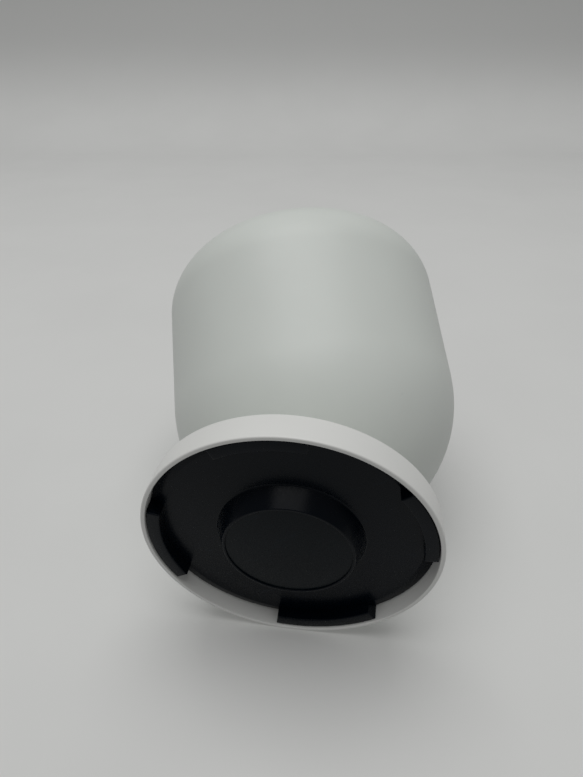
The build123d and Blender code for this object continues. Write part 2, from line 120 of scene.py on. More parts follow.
def pierced(grid: np.ndarray, openings: Sequence[Opening]) -> tuple[Skin, list[np.ndarray]]:
    """Turns a grid that closes on itself round its first direction into a skin with openings.

    Round each opening the points slide in a straight line, in the grid's own coordinates, from the
    border of its block of cells to its first loop: point = (1 - share) * border + share * loop.

    Args:
        grid: points by turn and by place along the profile, three numbers each.
        openings: what to leave open.

    Returns:
        The skin, and the loop of point numbers at the edge of each opening.
    """
    turns, places = grid.shape[:2]
    number = np.arange(turns * places).reshape(turns, places)
    number = np.vstack([number, number[:1]])
    kept = np.ones((turns, places - 1), bool)
    for opening in openings:
        kept[opening.first[0]:opening.last[0], opening.first[1]:opening.last[1]] = False
    corners = [number[:-1, :-1], number[1:, :-1], number[1:, 1:], number[:-1, 1:]]
    points = [grid.reshape(-1, 3)]
    quads = [np.stack(corners, axis=-1)[kept]]
    edges = []
    count = turns * places
    for opening in openings:
        (i0, j0), (i1, j1) = opening.first, opening.last
        border = np.concatenate([number[i0:i1, j0], number[i1, j0:j1],
                                 number[i1:i0:-1, j1], number[i0, j1:j0:-1]])
        share = np.linspace(0.0, 1.0, opening.rings + 1)[1:-1, None, None]
        slide = (1.0 - share) * points[0][border] + share * opening.loops[0]
        rings = np.concatenate([slide, np.stack(opening.loops)])
        numbers = count + np.arange(rings.shape[0] * len(border)).reshape(rings.shape[0], -1)
        count += numbers.size
        rows = np.vstack([border, numbers])
        quads.append(np.concatenate([ribbon(a, b) for a, b in zip(rows[:-1], rows[1:])]))
        points.append(rings.reshape(-1, 3))
        edges.append(numbers[-1])
    return Skin(np.concatenate(points), np.concatenate(quads)), edges


def arc(centre: Pair, radius: float, start: float, end: float, steps: int) -> np.ndarray:
    """Points of a circle: centre + radius * (cos a, sin a), with a going evenly from start to end.

    Args:
        centre: the circle's centre.
        radius: its radius.
        start: first angle, in degrees.
        end: last angle, in degrees.
        steps: how many steps there are between them.

    Returns:
        steps + 1 points.
    """
    turn = np.radians(np.linspace(start, end, steps + 1))
    return np.array(centre) + radius * np.stack([np.cos(turn), np.sin(turn)], axis=1)


def rounded(corners: Sequence[Pair], radii: Sequence[float], closed: bool = False) -> np.ndarray:
    """A line through corners, each one replaced by an arc that touches both of its sides.

    With h half the angle at a corner, the arc starts radius / tan(h) before the corner and ends as
    far after it, and its points are turned evenly between those two about the arc's centre.

    Args:
        corners: the corners in order.
        radii: the radius at each corner, 0 for a sharp one.
        closed: whether the last corner joins the first.

    Returns:
        The line's points.
    """
    at = np.array(corners, float)
    before, after = np.roll(at, 1, axis=0), np.roll(at, -1, axis=0)
    pieces = []
    for k, radius in enumerate(radii):
        ends_open = not closed and k in (0, len(at) - 1)
        if ends_open or radius <= 0:
            pieces.append(at[k:k + 1])
            continue
        back = (before[k] - at[k]) / np.linalg.norm(before[k] - at[k])
        ahead = (after[k] - at[k]) / np.linalg.norm(after[k] - at[k])
        half = np.arccos(np.clip(back @ ahead, -1, 1)) / 2
        middle = (back + ahead) / np.linalg.norm(back + ahead)
        centre = at[k] + middle * radius / np.sin(half)
        start = at[k] + back * radius / np.tan(half) - centre
        end = at[k] + ahead * radius / np.tan(half) - centre
        sweep = np.pi - 2 * half
        steps = max(2, int(np.ceil(np.degrees(sweep) / 15.0)))
        share = np.linspace(0.0, 1.0, steps + 1)[:, None]
        bent = np.sin((1 - share) * sweep) * start + np.sin(share * sweep) * end
        pieces.append(centre + bent / np.sin(sweep))
    return np.concatenate(pieces)


def loop_round(half: Pair, corner: float, steps: tuple[int, int], corner_steps: int) -> np.ndarray:
    """A rounded rectangle about the origin, anticlockwise from the middle of its lower left corner.

    Each side is half a corner arc, a straight run and half a corner arc, and the other sides are
    that side turned by a quarter, a half and three quarters.

    Args:
        half: half its width and half its height.
        corner: radius of its corners.
        steps: steps along a horizontal side and along a vertical one.
        corner_steps: how many of a side's steps each half corner takes.

    Returns:
        The loop's points, x and y.
    """
    sides = []
    for quarter in range(4):
        along, across = half if quarter % 2 == 0 else half[::-1]
        count = steps[quarter % 2]
        first = arc((corner - along, corner - across), corner, 225, 270, corner_steps)
        last = arc((along - corner, corner - across), corner, 270, 315, corner_steps)
        run = np.linspace(first[-1], last[0], count - 2 * corner_steps + 1)[1:]
        side = np.concatenate([first, run, last[1:]])[:-1]
        turn = np.pi / 2 * quarter
        spin = np.array([[np.cos(turn), np.sin(turn)], [-np.sin(turn), np.cos(turn)]])
        sides.append(side @ spin)
    return np.concatenate(sides)


def lathe(profile: np.ndarray, turns: np.ndarray, closed: bool) -> Skin:
    """A profile carried round an axis: x = r sin(turn), y = -r cos(turn), z = height.

    Args:
        profile: radius and height of each of its points.
        turns: the turns, in radians, all the way round.
        closed: whether the profile's last point joins its first.

    Returns:
        The skin, in x, y and z.
    """
    radius, height = profile[:, 0], profile[:, 1]
    grid = np.stack(np.broadcast_arrays(radius * np.sin(turns)[:, None],
                                        -radius * np.cos(turns)[:, None],
                                        height[None, :]), axis=-1)
    if closed:
        grid = np.concatenate([grid, grid[:, :1]], axis=1)
    return pierced(grid, [])[0]


def full_turn(steps: int) -> np.ndarray:
    """Even turns all the way round, in radians, without the last one, which is the first again."""
    return np.linspace(0.0, 2 * np.pi, steps, endpoint=False)


def make_piece(name: str, skin: Skin, finish: "Finish", body: Body,
               stands_for: Sequence[str] = ()) -> bpy.types.Object:
    """Makes a piece from a skin, welds it, turns its faces outwards and puts it on its body.

    Args:
        name: the piece's name.
        skin: its surface, in millimetres in the frame's own axes.
        finish: what it is made of.
        body: the CAD body that it rides on.
        stands_for: the CAD nodes that it is shown in place of.

    Returns:
        The new object.
    """
    mesh = bpy.data.meshes.new(name)
    mesh.from_pydata((skin.points * MM).tolist(), [], skin.quads.tolist())
    work = bmesh.new()
    work.from_mesh(mesh)
    bmesh.ops.remove_doubles(work, verts=work.verts, dist=WELD)
    bmesh.ops.recalc_face_normals(work, faces=work.faces)
    loose = sum(not edge.is_manifold for edge in work.edges)
    work.to_mesh(mesh)
    work.free()
    mesh.shade_smooth()
    mesh.set_sharp_from_angle(angle=SHARP_ANGLE)
    mesh.materials.append(finish.material())
    piece = bpy.data.objects.new(name, mesh)
    bpy.context.scene.collection.objects.link(piece)
    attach(piece, body.value)
    if stands_for:
        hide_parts(*stands_for)
    log.info("%s: %d faces, %d open edges", name, len(mesh.polygons), loose)
    return piece


# ---------------------------------------------------------------- finishes


class Bench:
    """Lays out one material's nodes. Sizes are in millimetres."""

    def __init__(self, name: str) -> None:
        """Starts a material with a shader and the object's own coordinates."""
        self.material = bpy.data.materials.new(name)
        self.material.use_nodes = True
        self.tree = self.material.node_tree
        self.shader = self.tree.nodes["Principled BSDF"]
        self.place = self.node("ShaderNodeTexCoord").outputs["Object"]

    def node(self, kind: str, **settings: object) -> bpy.types.Node:
        """Adds a node and sets its properties."""
        made = self.tree.nodes.new(kind)
        for key, value in settings.items():
            setattr(made, key, value)
        return made

    def join(self, source: bpy.types.NodeSocket, target: bpy.types.NodeSocket) -> None:
        """Links an output to an input."""
        self.tree.links.new(source, target)

    def turned(self, degrees: float, stretch: Colour = (1.0, 1.0, 1.0)) -> bpy.types.NodeSocket:
        """The object's coordinates turned about X, then stretched along each axis."""
        mapping = self.node("ShaderNodeMapping", vector_type="POINT")
        mapping.inputs["Rotation"].default_value = (np.radians(degrees), 0.0, 0.0)
        mapping.inputs["Scale"].default_value = stretch
        self.join(self.place, mapping.inputs["Vector"])
        return mapping.outputs["Vector"]

    def noise(self, size: float, detail: float = 2.0,
              place: bpy.types.NodeSocket | None = None) -> bpy.types.NodeSocket:
        """Noise, from 0 to 1.

        Args:
            size: size of its spots.
            detail: how many finer layers it has.
            place: coordinates, or None for the object's own.

        Returns:
            The output that carries it.
        """
        noise = self.node("ShaderNodeTexNoise")
        noise.inputs["Scale"].default_value = 1.0 / (size * MM)
        noise.inputs["Detail"].default_value = detail
        self.join(place or self.place, noise.inputs["Vector"])
        return noise.outputs["Fac"]

    def spread(self, value: bpy.types.NodeSocket, source: Pair,
               target: Pair) -> bpy.types.NodeSocket:
        """Maps a range of values onto another, smoothly, and holds it at the ends.

        Args:
            value: what to map.
            source: the lowest and highest value that it takes.
            target: what those become.

        Returns:
            The output that carries it.
        """
        mapped = self.node("ShaderNodeMapRange", interpolation_type="SMOOTHSTEP", clamp=True)
        for key, number in zip(("From Min", "From Max", "To Min", "To Max"), (*source, *target)):
            mapped.inputs[key].default_value = number
        self.join(value, mapped.inputs["Value"])
        return mapped.outputs["Result"]

    def tint(self, share: bpy.types.NodeSocket, base: Colour | bpy.types.NodeSocket,
             other: Colour) -> bpy.types.NodeSocket:
        """Mixes a colour, or the colour so far, with another one.

        Args:
            share: how much of the other there is, from 0 to 1.
            base: the first colour.
            other: the second colour.

        Returns:
            The output that carries the mix.
        """
        mix = self.node("ShaderNodeMix", data_type="RGBA")
        self.join(share, mix.inputs["Factor"])
        if isinstance(base, tuple):
            mix.inputs["A"].default_value = (*base, 1.0)
        else:
            self.join(base, mix.inputs["A"])
        mix.inputs["B"].default_value = (*other, 1.0)
        return mix.outputs["Result"]

    def dent(self, height: bpy.types.NodeSocket, depth: float,
             under: bpy.types.NodeSocket | None = None) -> bpy.types.NodeSocket:
        """Turns a height from 0 to 1 into relief.

        Args:
            height: what to read as height.
            depth: how deep the relief is.
            under: relief that it lies on, or None.

        Returns:
            The output that carries the normal.
        """
        bump = self.node("ShaderNodeBump")
        bump.inputs["Strength"].default_value = 1.0
        bump.inputs["Distance"].default_value = depth * MM
        self.join(height, bump.inputs["Height"])
        if under is not None:
            self.join(under, bump.inputs["Normal"])
        return bump.outputs["Normal"]

    def finish(self, colour: bpy.types.NodeSocket, roughness: bpy.types.NodeSocket,
               normal: bpy.types.NodeSocket | None = None) -> bpy.types.Material:
        """Joins the finished colour, roughness and relief to the shader, and gives the material."""
        self.join(colour, self.shader.inputs["Base Color"])
        self.join(roughness, self.shader.inputs["Roughness"])
        if normal is not None:
            self.join(normal, self.shader.inputs["Normal"])
        return self.material


def shaded(colour: Colour, share: float) -> Colour:
    """A colour made lighter or darker by a share."""
    return tuple(min(1.0, channel * share) for channel in colour)


@dataclass(frozen=True)
class Finish:
    """What every finish has: a name, a colour and how rough it is."""

    name: str
    colour: Colour
    roughness: float

    def material(self) -> bpy.types.Material:
        """The material, made once and then shared."""
        known = bpy.data.materials.get(self.name)
        return known or self.lay_out(Bench(self.name))

    def lay_out(self, bench: Bench) -> bpy.types.Material:
        """Lays out the nodes. Each kind of finish has its own way."""
        raise NotImplementedError


@dataclass(frozen=True)
class Moulding(Finish):
    """Moulded plastic or rubber: faint clouding, a fine grain, and dull scuffs from handling."""

    clouding: float = 0.97      # darkest cloud, as a share of the colour
    cloud_size: float = 38.0
    grain_size: float = 0.7
    grain_depth: float = 0.012
    scuff: float = 0.90         # darkest scuff, as a share of the colour
    scuff_from: float = 0.70    # scuffs start where their noise passes this
    specular: float = 0.5

    def lay_out(self, bench: Bench) -> bpy.types.Material:
        """Clouds and scuffs change the colour, scuffs and grain the roughness, grain the relief."""
        clouds = bench.spread(bench.noise(self.cloud_size, 3.0), (0.3, 0.7), (0.0, 1.0))
        streaks = bench.noise(9.0, 4.0, bench.turned(25.0, (1.0, 2.6, 0.8)))
        scuffs = bench.spread(streaks, (self.scuff_from, self.scuff_from + 0.08), (0.0, 1.0))
        colour = bench.tint(clouds, self.colour, shaded(self.colour, self.clouding))
        colour = bench.tint(scuffs, colour, shaded(self.colour, self.scuff))
        grain = bench.noise(self.grain_size, 2.0)
        roughness = bench.spread(grain, (0.3, 0.7), (self.roughness - 0.04, self.roughness + 0.05))
        bench.shader.inputs["Specular IOR Level"].default_value = self.specular
        return bench.finish(colour, roughness, bench.dent(grain, self.grain_depth))


@dataclass(frozen=True)
class TurnedMetal(Finish):
    """Metal with tool marks: fine streaks one way, and a slight darkening in patches."""

    streak_size: float = 0.5
    streak_stretch: float = 0.06
    patch: float = 0.82
    depth: float = 0.004

    def lay_out(self, bench: Bench) -> bpy.types.Material:
        """Patches change the colour, and streaks both the roughness and the relief."""
        patches = bench.spread(bench.noise(14.0, 4.0), (0.35, 0.7), (0.0, 1.0))
        colour = bench.tint(patches, self.colour, shaded(self.colour, self.patch))
        stretch = (self.streak_stretch, 1.0, 1.0)
        streaks = bench.noise(self.streak_size, 3.0, bench.turned(32.0, stretch))
        low, high = self.roughness * 0.75, min(1.0, self.roughness * 1.3)
        bench.shader.inputs["Metallic"].default_value = 1.0
        roughness = bench.spread(streaks, (0.3, 0.7), (low, high))
        return bench.finish(colour, roughness, bench.dent(streaks, self.depth))


@dataclass(frozen=True)
class BoardLacquer(Finish):
    """A circuit board: lacquer over copper tracks that run along the board in steps."""

    track: Colour = (0.05, 0.16, 0.07)
    track_pitch: float = 1.6

    def lay_out(self, bench: Bench) -> bpy.types.Material:
        """The joints of a brick pattern are the tracks, and the lacquer lies lower between."""
        bricks = bench.node("ShaderNodeTexBrick")
        bricks.inputs["Scale"].default_value = 1.0 / (self.track_pitch * 4 * MM)
        bricks.inputs["Mortar Size"].default_value = 0.06
        bricks.inputs["Color1"].default_value = (0.0, 0.0, 0.0, 1.0)
        bricks.inputs["Color2"].default_value = (0.0, 0.0, 0.0, 1.0)
        bricks.inputs["Mortar"].default_value = (1.0, 1.0, 1.0, 1.0)
        bench.join(bench.turned(58.0), bricks.inputs["Vector"])
        tracks = bricks.outputs["Fac"]
        colour = bench.tint(tracks, self.colour, self.track)
        clouds = bench.spread(bench.noise(11.0, 3.0), (0.3, 0.7), (0.0, 0.35))
        colour = bench.tint(clouds, colour, shaded(self.colour, 0.6))
        roughness = bench.spread(tracks, (0.0, 1.0), (self.roughness, self.roughness * 0.8))
        return bench.finish(colour, roughness, bench.dent(tracks, 0.03))


@dataclass(frozen=True)
class ClearLens(Finish):
    """A small milky light guide."""

    see_through: float = 0.35

    def lay_out(self, bench: Bench) -> bpy.types.Material:
        """Fine milkiness in the colour, and light let through by the shader."""
        milk = bench.spread(bench.noise(1.2, 3.0), (0.3, 0.7), (0.0, 1.0))
        colour = bench.tint(milk, self.colour, shaded(self.colour, 0.92))
        roughness = bench.spread(milk, (0.0, 1.0), (self.roughness, self.roughness + 0.1))
        bench.shader.inputs["Transmission Weight"].default_value = self.see_through
        return bench.finish(colour, roughness, bench.dent(milk, 0.004))


DRUM_WHITE = Moulding("frosted_white", (0.745, 0.780, 0.740), 0.44, clouding=0.975,
                      scuff=0.93, scuff_from=0.70, grain_size=0.55, grain_depth=0.006)
RING_WHITE = Moulding("satin_white", (0.835, 0.840, 0.815), 0.38, clouding=0.98, scuff=0.90,
                      scuff_from=0.72, grain_size=0.6, grain_depth=0.004)
POCKET_WHITE = Moulding("pocket_white", (0.70, 0.71, 0.69), 0.5, grain_depth=0.006)
UNDERSIDE_BLACK = Moulding("satin_black", (0.0008, 0.0026, 0.0056), 0.26, clouding=0.8, scuff=1.5,
                           scuff_from=0.66, grain_size=0.45, grain_depth=0.0015, specular=0.10)
PAD_BLACK = Moulding("pad_rubber", (0.0020, 0.0045, 0.0068), 0.30, clouding=0.85, scuff=1.4,
                     scuff_from=0.64, grain_size=0.6, grain_depth=0.003, cloud_size=16.0,
                     specular=0.09)
GREY_PLASTIC = Moulding("grey_plastic", (0.20, 0.205, 0.21), 0.5)
LINER = Moulding("liner_rubber", (0.035, 0.035, 0.037), 0.7, grain_depth=0.02)
BUTTON_GREY = Moulding("button_grey", (0.32, 0.33, 0.33), 0.42, grain_depth=0.004)
THERMAL = Moulding("thermal_pad", (0.30, 0.36, 0.46), 0.8, grain_depth=0.03)
PLAIN_STEEL = TurnedMetal("plain_steel", (0.46, 0.46, 0.45), 0.38)
SCREW_STEEL = TurnedMetal("screw_steel", (0.36, 0.36, 0.37), 0.30, streak_size=0.2)
NICKEL = TurnedMetal("nickel_plate", (0.62, 0.58, 0.52), 0.22)
TIN = TurnedMetal("tinned_steel", (0.66, 0.67, 0.68), 0.30)
BRASS = TurnedMetal("brass", (0.70, 0.48, 0.20), 0.28, streak_size=0.3)
SINK = TurnedMetal("extruded_aluminium", (0.60, 0.61, 0.62), 0.42, patch=0.9)
SHIELD = TurnedMetal("shield_steel", (0.50, 0.51, 0.52), 0.30, streak_size=0.3)
BOARD = BoardLacquer("board_green", (0.012, 0.075, 0.035), 0.33)
LENS = ClearLens("milky_lens", (0.86, 0.88, 0.90), 0.25)


# ---------------------------------------------------------------- the drum


@dataclass
class Drum:
    """The ball-ended casing, the cap on its far end, and the light in the cap.

    Its skins are worked out as turn, radius and height along the drum's own axis. The turn is
    counted from the back, where the port pocket opens.
    """

    lean: float = 32.0
    ball_z: float = 68.4
    body_r: float = 52.0
    wall: float = 2.2
    top: float = 63.2
    crown_round: float = 24.2
    seam_angle: float = 70.0
    seam_gap: float = 0.4
    seam_round: float = 0.25
    ball_steps: int = 46
    band_top: float = 24.0
    band_steps: int = 24
    block_angle: float = 36.0
    block_steps: int = 32
    turn_steps: int = 160
    pocket_s: float = 12.0
    pocket_half: Pair = (26.1, 10.1)
    pocket_corner: float = 3.1
    pocket_lip: float = 0.4
    skirt: tuple[float, float, float] = (34.4, 33.0, 54.5)
    skirt_round: float = 0.3
    lens_front: float = 18.0
    lens_r: float = 1.6
    lens_flange: tuple[float, float] = (3.0, 1.5)
    lens_dome: float = 0.2

    def placed(self, skin: Skin) -> Skin:
        """Takes a skin from turn, radius and height to the frame's axes.

        The point is ball + r sin(turn) X + r cos(turn) back + height axis, where the axis leans
        towards +Y by the drum's lean and back is square to it.

        Args:
            skin: points as turn in radians, radius and height.

        Returns:
            The same skin in x, y and z.
        """
        turn, radius, height = skin.points.T
        lean = np.radians(self.lean)
        back = radius * np.cos(turn)
        x = radius * np.sin(turn)
        y = height * np.sin(lean) - back * np.cos(lean)
        z = self.ball_z + height * np.cos(lean) + back * np.sin(lean)
        return Skin(np.stack([x, y, z], axis=1), skin.quads)

    @property
    def turns(self) -> np.ndarray:
        """Turns round the drum: an even block about the pocket, then the rest of the way round."""
        block = np.linspace(-self.block_angle, self.block_angle, self.block_steps + 1)
        rest = np.linspace(self.block_angle, 360.0 - self.block_angle,
                           self.turn_steps - self.block_steps + 1)[1:-1]
        return np.radians(np.concatenate([block, rest]))

    def spun(self, profile: np.ndarray) -> np.ndarray:
        """A grid of turn, radius and height: the same profile at every turn."""
        turn, radius = np.meshgrid(self.turns, profile[:, 0], indexing="ij")
        height = np.broadcast_to(profile[:, 1], radius.shape)
        return np.stack([turn, radius, height], axis=-1)

    def crown(self, inset: float, start: float, end: float, steps: int) -> np.ndarray:
        """Part of the rounding between the side and the top, on a skin inset from the outside."""
        centre = (self.body_r - self.crown_round, self.top - self.crown_round)
        return arc(centre, self.crown_round - inset, start, end, steps)

    def side_profile(self, inset: float) -> np.ndarray:
        """The casing's profile from its pole to the seam: a quarter circle, a line and an arc."""
        radius = self.body_r - inset
        band = np.linspace(0.0, self.band_top, self.band_steps + 1)[1:]
        upper = np.linspace(self.band_top, self.top - self.crown_round, 7)[1:]
        heights = np.concatenate([band, upper])
        side = np.stack([np.full_like(heights, radius), heights], axis=1)
        ball = arc((0.0, 0.0), radius, -90, 0, self.ball_steps)
        crown = self.crown(inset, 0.0, self.seam_angle, 28)[1:]
        return np.concatenate([ball, side, crown])

    def seam_edge(self, angle: float, way: float) -> np.ndarray:
        """The soft edge where an outer skin meets the seam.

        Args:
            angle: where the seam's face is, in degrees round the crown.
            way: 1 if the skin comes from smaller angles, -1 if from larger ones.

        Returns:
            The edge's points, from the skin inwards.
        """
        ahead = self.crown(0.0, angle - way, angle, 1)
        inwards = self.crown(1.0, angle, angle, 1)[:1]
        corners = np.concatenate([ahead, inwards])
        return rounded(corners.tolist(), (0.0, self.seam_round, 0.0))[1:-1]

    def pocket_loop(self, inset: float, grow: float) -> np.ndarray:
        """The pocket's outline on a skin: turn = arcsin(x / radius), radius, height.

        Args:
            inset: how far inside the drum the skin lies.
            grow: how much bigger than the opening the outline is, all round.

        Returns:
            The loop's points.
        """
        half = (self.pocket_half[0] + grow, self.pocket_half[1] + grow)
        loop = loop_round(half, self.pocket_corner + grow, (self.block_steps, self.band_steps), 4)
        radius = self.body_r - inset
        turn = np.arcsin(loop[:, 0] / radius)
        return np.stack([turn, np.full_like(turn, radius), self.pocket_s + loop[:, 1]], axis=1)

    def casing(self) -> Skin:
        """The casing, a closed shell: both skins, the pocket's edge and the seam's face."""
        block = ((0, self.ball_steps), (self.block_steps, self.ball_steps + self.band_steps))
        roll = np.radians(np.linspace(0.0, 90.0, 5))
        lips = [self.pocket_loop(self.pocket_lip * (1 - np.cos(angle)),
                                 self.pocket_lip * (1 - np.sin(angle))) for angle in roll]
        outer_profile = self.side_profile(0.0)[:-1]
        outer_profile = np.concatenate([outer_profile, self.seam_edge(self.seam_angle, 1.0)])
        inner_profile = self.side_profile(self.wall)
        outer, outer_edges = pierced(self.spun(outer_profile), [Opening(*block, lips)])
        inner_loop = self.pocket_loop(self.wall, 0.0)
        inner, inner_edges = pierced(self.spun(inner_profile), [Opening(*block, [inner_loop])])
        walls = [(outer_edges[0], inner_edges[0]),
                 (self.last_row(outer_profile), self.last_row(inner_profile))]
        return self.placed(outer.flipped_onto(inner, walls))

    def last_row(self, profile: np.ndarray) -> np.ndarray:
        """The point numbers of a spun profile's last point, all the way round."""
        return np.arange(len(self.turns)) * len(profile) + len(profile) - 1

    def cap(self) -> Skin:
        """The cap, a closed shell: crown and flat top outside, the same with a skirt inside."""
        start = self.seam_angle + self.seam_gap
        flat = np.linspace(self.body_r - self.crown_round, 0.0, 15)[1:]
        outer = np.concatenate([
            self.seam_edge(start, -1.0)[::-1],
            self.crown(0.0, start, 90.0, 9)[1:],
            np.stack([flat, np.full_like(flat, self.top)], axis=1),
        ])
        under = self.crown(self.wall, start, 90.0, 12)
        out_r, in_r, low = self.skirt
        edge = self.skirt_round
        skirt = rounded([(out_r, under[0, 1]), (out_r, low), (in_r, low),
                         (in_r, under[0, 1] + 2 * edge)], (0.0, edge, edge, 0.0))
        rest = under[under[:, 0] < in_r - edge]
        flat_under = np.stack([flat, np.full_like(flat, self.top - self.wall)], axis=1)
        inner = np.concatenate([under[:1], skirt, rest, flat_under])
        profile = np.concatenate([outer[::-1], inner])
        return self.placed(pierced(self.spun(profile), [])[0])

    def lens(self) -> Skin:
        """The light guide: a small lathed pin with a domed end and a flange under the cap."""
        flange_r, flange_h = self.lens_flange
        foot = self.top - self.wall - 1.6
        dome_r = (self.lens_r**2 + self.lens_dome**2) / (2 * self.lens_dome)
        half = np.degrees(np.arcsin(self.lens_r / dome_r))
        dome = arc((0.0, self.top + 0.05 + self.lens_dome - dome_r), dome_r, 90 - half, 90, 6)
        stem = rounded([(0.0, foot), (flange_r, foot), (flange_r, foot + flange_h),
                        (self.lens_r, foot + flange_h), tuple(dome[0])],
                       (0.0, 0.2, 0.2, 0.0, 0.0))
        skin = lathe(np.concatenate([stem, dome[1:]]), full_turn(32), closed=False)
        x, y, height = skin.points.T
        front = -y + self.lens_front
        turn, radius = np.arctan2(x, -front), np.hypot(x, front)
        return self.placed(Skin(np.stack([turn, radius, height], axis=1), skin.quads))

    def build(self) -> None:
        """Makes the drum's pieces."""
        make_piece("drum_casing", self.casing(), DRUM_WHITE, Body.DRUM, ["body_shell"])
        make_piece("drum_cap", self.cap(), DRUM_WHITE, Body.DRUM, ["top_cap"])
        make_piece("cap_light", self.lens(), LENS, Body.DRUM, ["status_lens"])


# ---------------------------------------------------------------- the foot


@dataclass
class Foot:
    """The round foot: a white ring and top skin, the black underside with its tabs, and the pad."""

    ring_profile: Sequence[Pair] = ((43.6, 1.6), (45.0, 1.6), (44.7, 10.6), (43.6, 11.3),
                                    (23.5, 15.8), (23.5, 14.0), (42.1, 9.84), (43.6, 9.1))
    ring_radii: Sequence[float] = (0.25, 0.5, 0.5, 1.2, 0.4, 0.3, 0.5, 0.5)
    plate_profile: Sequence[Pair] = ((0.0, 1.6), (18.9, 1.6), (18.9, 0.0), (19.7, 0.0),
                                     (22.6, 6.3), (40.5, 6.0), (43.5, 7.3), (43.5, 8.9),
                                     (40.5, 7.9), (33.0, 8.0), (28.0, 9.0), (25.5, 10.8),
                                     (19.7, 10.8), (18.1, 3.4), (0.0, 3.4))
    plate_radii: Sequence[float] = (0.0, 0.2, 0.22, 0.3, 0.6, 4.0, 0.3, 0.3, 1.0, 1.0,
                                    1.0, 1.0, 1.0, 1.0, 0.0)
    tab_centres: Sequence[float] = (-82.5, 15.0, 103.0, 184.0)
    tab_widths: Sequence[float] = (47.0, 44.0, 38.0, 40.0)
    tab_inner: float = 39.15
    tab_outer: float = 43.45
    tab_z: float = 2.1
    tab_draft: float = 0.14
    tab_round: float = 0.45
    row_gap: float = 0.2        # least distance from the tabs' rows to the plate's own
    edge_gap: float = 0.01
    fair_reach: float = 12.0    # how far inside the tabs the plate's own heights are read
    pad_r: float = 18.89
    pad_low: float = 0.4
    pad_high: float = 1.6
    turn_steps: int = 192

    def ring(self) -> Skin:
        """The white ring with the top skin, one closed lathed profile."""
        profile = rounded(self.ring_profile, self.ring_radii, closed=True)
        return lathe(profile, full_turn(self.turn_steps), closed=True)

    def pad(self) -> Skin:
        """The pad in the boss's end, a disc with a soft edge."""
        radii = (0.0, 0.04, 0.3, 0.0)
        profile = rounded([(0.0, self.pad_low), (self.pad_r, self.pad_low),
                           (self.pad_r, self.pad_high), (0.0, self.pad_high)], radii)
        return lathe(profile, full_turn(self.turn_steps), closed=False)

    def tab_height(self, inside: np.ndarray) -> np.ndarray:
        """How much of a tab's height there is, by distance inside its outline.

        It climbs in a straight line over the draft, and then round a quarter of an ellipse to the
        flat top: 1 - round * (1 - sqrt(1 - k^2)), with k going from 1 to 0 over the rounding.

        Args:
            inside: distance inside the outline, below 0 outside it.

        Returns:
            The share of the height, from 0 to 1.
        """
        soft = self.tab_round / 5.4
        climb = np.clip(inside / self.tab_draft, 0.0, 1.0) * (1.0 - soft)
        k = 1.0 - np.clip((inside - self.tab_draft) / self.tab_round, 0.0, 1.0)
        return np.where(inside <= self.tab_draft, climb, 1.0 - soft * (1 - np.sqrt(1 - k**2)))

    def edge_offsets(self) -> np.ndarray:
        """Where lines are needed by a tab's edge: at its foot, and up its draft and rounding."""
        bend = self.tab_draft + self.tab_round * (1 - np.cos(np.radians(np.linspace(0, 90, 6))))
        return np.concatenate([[0.0], bend])

    def underside(self) -> Skin:
        """The black underside: a lathed profile, pulled up to the tabs where they stand.

        Height = profile + (tab height - profile) * share, for the face that looks down.

        Returns:
            The closed skin.
        """
        middle_r = (self.tab_inner + self.tab_outer) / 2
        ends = np.degrees(self.edge_offsets() / middle_r)
        starts = np.subtract(self.tab_centres, np.divide(self.tab_widths, 2))
        stops = np.add(self.tab_centres, np.divide(self.tab_widths, 2))
        lines = [np.arange(0.0, 360.0, 360.0 / self.turn_steps)]
        lines += [start + ends for start in starts] + [stop - ends for stop in stops]
        turns = np.unique(np.round(np.concatenate(lines) % 360.0, 4))
        edge = self.edge_offsets()
        rows = np.sort(np.concatenate([self.tab_inner + edge, self.tab_outer - edge]))
        profile = rounded(self.plate_profile, self.plate_radii)
        down = profile[:profile[:, 0].argmax() + 1]
        back = profile[profile[:, 0].argmax() + 1:]
        inner = down[down[:, 0] < self.tab_inner - self.row_gap]
        outer = down[down[:, 0] > self.tab_outer + self.edge_gap]
        fair = down[down[:, 0] > self.tab_inner - self.fair_reach]
        added = np.stack([rows, np.interp(rows, fair[:, 0], fair[:, 1])], axis=1)
        down = np.concatenate([inner, added, outer])
        radius = np.concatenate([down[:, 0], back[:, 0]])
        height = np.concatenate([down[:, 1], back[:, 1]])
        radius, angle = np.meshgrid(radius, np.radians(turns))
        height = np.broadcast_to(height, radius.shape).copy()
        share = np.zeros_like(radius)
        for start, width in zip(starts, self.tab_widths):
            along = (np.degrees(angle) - start) % 360.0
            sideways = np.radians(np.minimum(along, width - along)) * middle_r
            across = np.minimum(radius - self.tab_inner, self.tab_outer - radius)
            inside = np.minimum(across, sideways)
            share = np.maximum(share, self.tab_height(inside))
        share[:, len(down):] = 0.0
        height += (self.tab_z - height) * share
        grid = np.stack([radius * np.cos(angle), radius * np.sin(angle), height], axis=-1)
        return pierced(grid, [])[0]

    def build(self) -> None:
        """Makes the foot's pieces."""
        make_piece("foot_ring", self.ring(), RING_WHITE, Body.FOOT, ["foot_shell"])
        make_piece("foot_underside", self.underside(), UNDERSIDE_BLACK, Body.FOOT,
                   ["foot_plate"])
        make_piece("foot_pad", self.pad(), PAD_BLACK, Body.FOOT, ["boss_pad"])


# ---------------------------------------------------------------- CAD parts that stay


